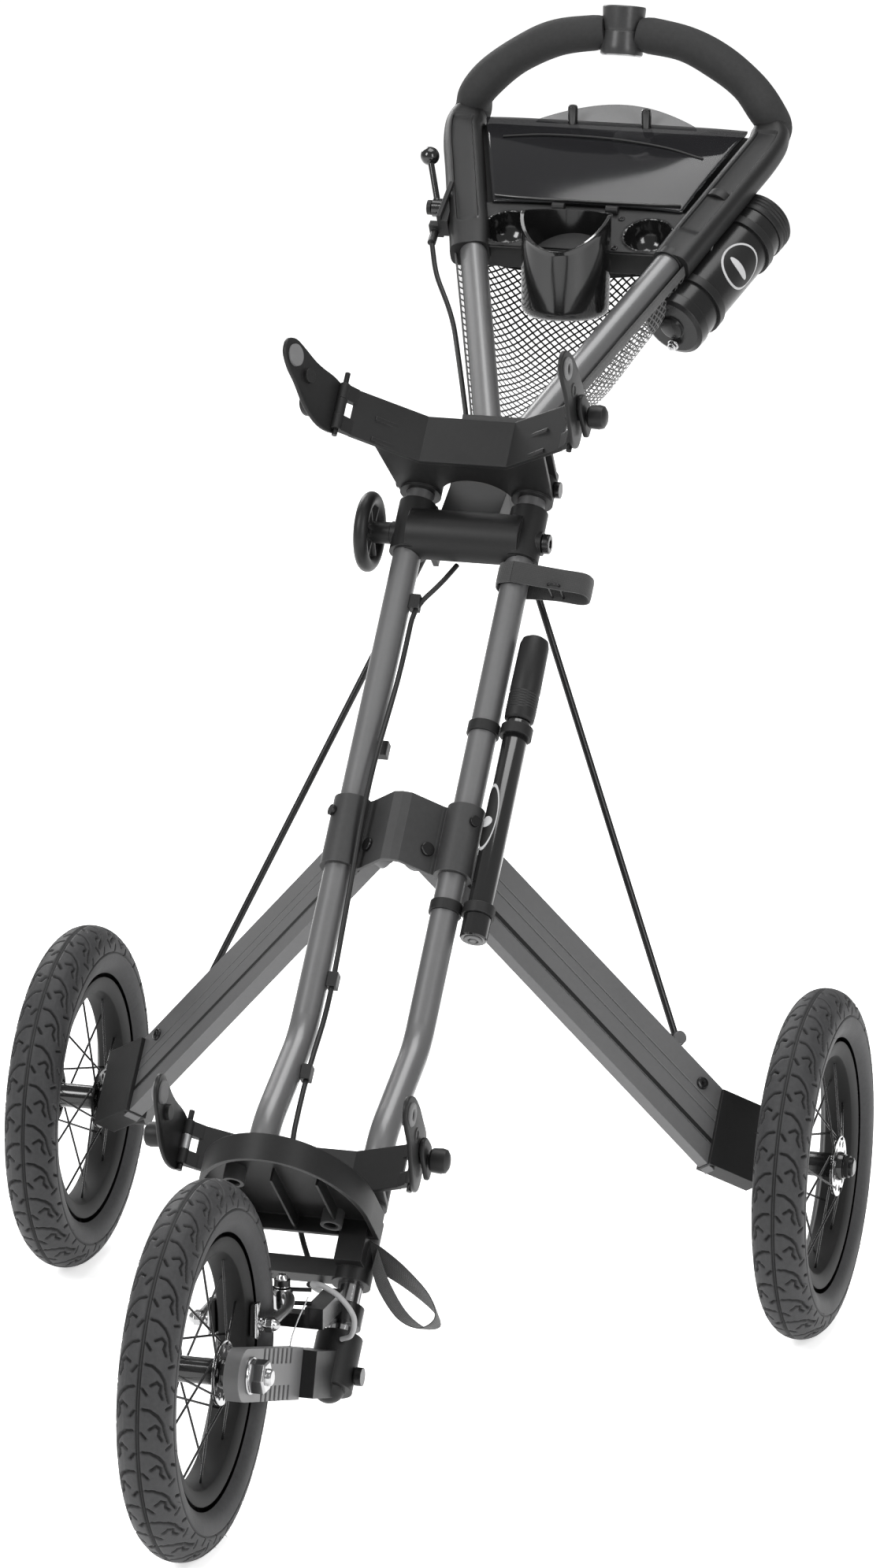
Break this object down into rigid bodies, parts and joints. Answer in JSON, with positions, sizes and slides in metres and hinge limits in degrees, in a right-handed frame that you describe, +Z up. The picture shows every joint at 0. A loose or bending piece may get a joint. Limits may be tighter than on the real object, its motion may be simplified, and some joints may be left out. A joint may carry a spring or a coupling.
{
  "type": "golf push trolley",
  "caption": "Three-wheeled golf bag push trolley with folding frame, spoked tyred wheels, bag cradles, scorecard console, net bag and foam grip handle.",
  "frame": {"origin": "on the ground, under the centre of the whole trolley's box", "axes": "+Z up, +Y from the front wheel back to the handle, +X square to both; the fork arm, pump and canister are on the +X side"},
  "size_m": [0.758, 1.5028, 1.1033],
  "materials": {
    "satin_grey": "satin grey powder coat",
    "black_plastic": "fine satin moulding",
    "gloss_black": "glossy moulding",
    "canister_white": "smooth dark shell",
    "chrome": "polished plating",
    "tyre": "matt rubber tread",
    "foam": "matt closed-cell foam",
    "fabric": "woven black nylon",
    "cable": "smooth sheath",
    "smoked_lid": "smoked see-through plastic"
  },
  "bodies": {
    "frame": {"left_main_tube": "satin_grey", "right_main_tube": "satin_grey", "fork_tube": "chrome", "hinge_block": "black_plastic", "hinge_bolt": "chrome", "centre_bracket": "black_plastic", "frame_fasteners": "chrome", "upper_cradle": "black_plastic", "lower_cradle": "black_plastic", "base_plate": "black_plastic", "fork_knuckle": "black_plastic", "fork_arm": "satin_grey", "front_axle": "chrome", "caliper_body": "chrome", "tube_clips": "black_plastic", "brake_cable_lower": "cable", "pump_barrel": "gloss_black", "storage_strap": "fabric", "webbing_loop": "fabric"},
    "handle": {"yoke": "black_plastic", "upper_tubes": "satin_grey", "console": "black_plastic", "cup_holder": "gloss_black", "handle_bars": "gloss_black", "grips": "foam", "umbrella_collar": "black_plastic", "canister": "canister_white", "canister_clamps": "black_plastic", "lever_bracket": "black_plastic", "net_bag": "fabric", "brake_cable_upper": "cable"},
    "lid": {"scorecard_lid": "smoked_lid"},
    "canister_top": {"canister_cap": "gloss_black"},
    "lever": {"brake_lever": "gloss_black"},
    "tension_knob": {"tension_knob": "black_plastic"},
    "pump_plunger": {"pump_handle": "gloss_black"},
    "left_leg": {"left_leg": "satin_grey", "left_axle_box": "black_plastic"},
    "left_strut": {"left_strut": "satin_grey"},
    "left_wheel": {"left_tyre": "tyre", "left_rim": "black_plastic", "left_hub": "chrome", "left_spokes": "chrome"},
    "left_brake_arm": {"left_brake_arm": "chrome"},
    "left_upper_ear": {"left_upper_ear": "black_plastic"},
    "left_lower_ear": {"left_lower_ear": "black_plastic"},
    "right_leg": {"right_leg": "satin_grey", "right_axle_box": "black_plastic"},
    "right_strut": {"right_strut": "satin_grey"},
    "right_wheel": {"right_tyre": "tyre", "right_rim": "black_plastic", "right_hub": "chrome", "right_spokes": "chrome"},
    "right_brake_arm": {"right_brake_arm": "chrome"},
    "right_upper_ear": {"right_upper_ear": "black_plastic"},
    "right_lower_ear": {"right_lower_ear": "black_plastic"},
    "front_wheel": {"front_tyre": "tyre", "front_rim": "black_plastic", "front_hub": "chrome", "front_spokes": "chrome"}
  },
  "joints": [
    {"name": "handle_fold", "type": "hinge", "parent": "frame", "child": "handle", "pos_m": [0, 0.19931, 0.69145], "axis": [1, 0, 0], "range_deg": [-85, 0]},
    {"name": "lid_hinge", "type": "hinge", "parent": "handle", "child": "lid", "pos_m": [0, 0.59579, 0.9268], "axis": [1, 0, 0], "range_deg": [0, 95]},
    {"name": "canister_cap_turn", "type": "hinge", "parent": "handle", "child": "canister_top", "pos_m": [0.14942, 0.66642, 0.90845], "axis": [0.2934, 0.8304, 0.4737], "continuous": true},
    {"name": "brake_lever_swing", "type": "hinge", "parent": "handle", "child": "lever", "pos_m": [-0.139, 0.58896, 0.92061], "axis": [1, 0, 0], "range_deg": [-25, 0]},
    {"name": "tension_knob_turn", "type": "hinge", "parent": "frame", "child": "tension_knob", "pos_m": [0, 0.19931, 0.69145], "axis": [1, 0, 0], "continuous": true},
    {"name": "pump_slide", "type": "slide", "parent": "frame", "child": "pump_plunger", "axis": [0, 0.6561, 0.7547], "range_m": [0, 0.04]},
    {"name": "left_leg_fold", "type": "hinge", "parent": "frame", "child": "left_leg", "pos_m": [-0.0267, -0.01651, 0.45837], "axis": [-0.6845, -0.5502, 0.4782], "range_deg": [0, 25.51]},
    {"name": "left_strut_swing", "type": "hinge", "parent": "left_leg", "child": "left_strut", "pos_m": [-0.223, 0.11385, 0.268], "axis": [-0.6845, -0.5502, 0.4782], "range_deg": [-13.61, 0]},
    {"name": "left_wheel_spin", "type": "hinge", "parent": "left_leg", "child": "left_wheel", "pos_m": [-0.346, 0.13585, 0.1575], "axis": [1, 0, 0], "continuous": true},
    {"name": "left_brake_arm_swing", "type": "hinge", "parent": "frame", "child": "left_brake_arm", "pos_m": [-0.016, -0.40815, 0.168], "axis": [0, 0, 1], "range_deg": [0, 1.8]},
    {"name": "left_upper_ear_fold", "type": "hinge", "parent": "frame", "child": "left_upper_ear", "pos_m": [-0.108, 0.15943, 0.81171], "axis": [0, 0.6561, 0.7547], "range_deg": [-40, 60]},
    {"name": "left_lower_ear_fold", "type": "hinge", "parent": "frame", "child": "left_lower_ear", "pos_m": [-0.1018, -0.30761, 0.26104], "axis": [0, 0.6561, 0.7547], "range_deg": [-40, 60]},
    {"name": "right_leg_fold", "type": "hinge", "parent": "frame", "child": "right_leg", "pos_m": [0.0267, -0.01651, 0.45837], "axis": [0.6845, -0.5502, 0.4782], "range_deg": [-25.51, 0]},
    {"name": "right_strut_swing", "type": "hinge", "parent": "right_leg", "child": "right_strut", "pos_m": [0.223, 0.11385, 0.268], "axis": [0.6845, -0.5502, 0.4782], "range_deg": [0, 13.61]},
    {"name": "right_wheel_spin", "type": "hinge", "parent": "right_leg", "child": "right_wheel", "pos_m": [0.346, 0.13585, 0.1575], "axis": [1, 0, 0], "continuous": true},
    {"name": "right_brake_arm_swing", "type": "hinge", "parent": "frame", "child": "right_brake_arm", "pos_m": [0.016, -0.40815, 0.168], "axis": [0, 0, 1], "range_deg": [-1.8, 0]},
    {"name": "right_upper_ear_fold", "type": "hinge", "parent": "frame", "child": "right_upper_ear", "pos_m": [0.108, 0.15943, 0.81171], "axis": [0, 0.6561, 0.7547], "range_deg": [-60, 40]},
    {"name": "right_lower_ear_fold", "type": "hinge", "parent": "frame", "child": "right_lower_ear", "pos_m": [0.1018, -0.30761, 0.26104], "axis": [0, 0.6561, 0.7547], "range_deg": [-60, 40]},
    {"name": "front_wheel_spin", "type": "hinge", "parent": "frame", "child": "front_wheel", "pos_m": [0, -0.59415, 0.1575], "axis": [1, 0, 0], "continuous": true}
  ],
  "couplings": [
    {"joint": "right_leg_fold", "follows": "handle_fold", "ratio": 0.3},
    {"joint": "left_leg_fold", "follows": "handle_fold", "ratio": -0.3},
    {"joint": "right_strut_swing", "follows": "handle_fold", "ratio": -0.16},
    {"joint": "left_strut_swing", "follows": "handle_fold", "ratio": 0.16},
    {"joint": "right_brake_arm_swing", "follows": "brake_lever_swing", "ratio": 0.07},
    {"joint": "left_brake_arm_swing", "follows": "brake_lever_swing", "ratio": -0.07}
  ]
}
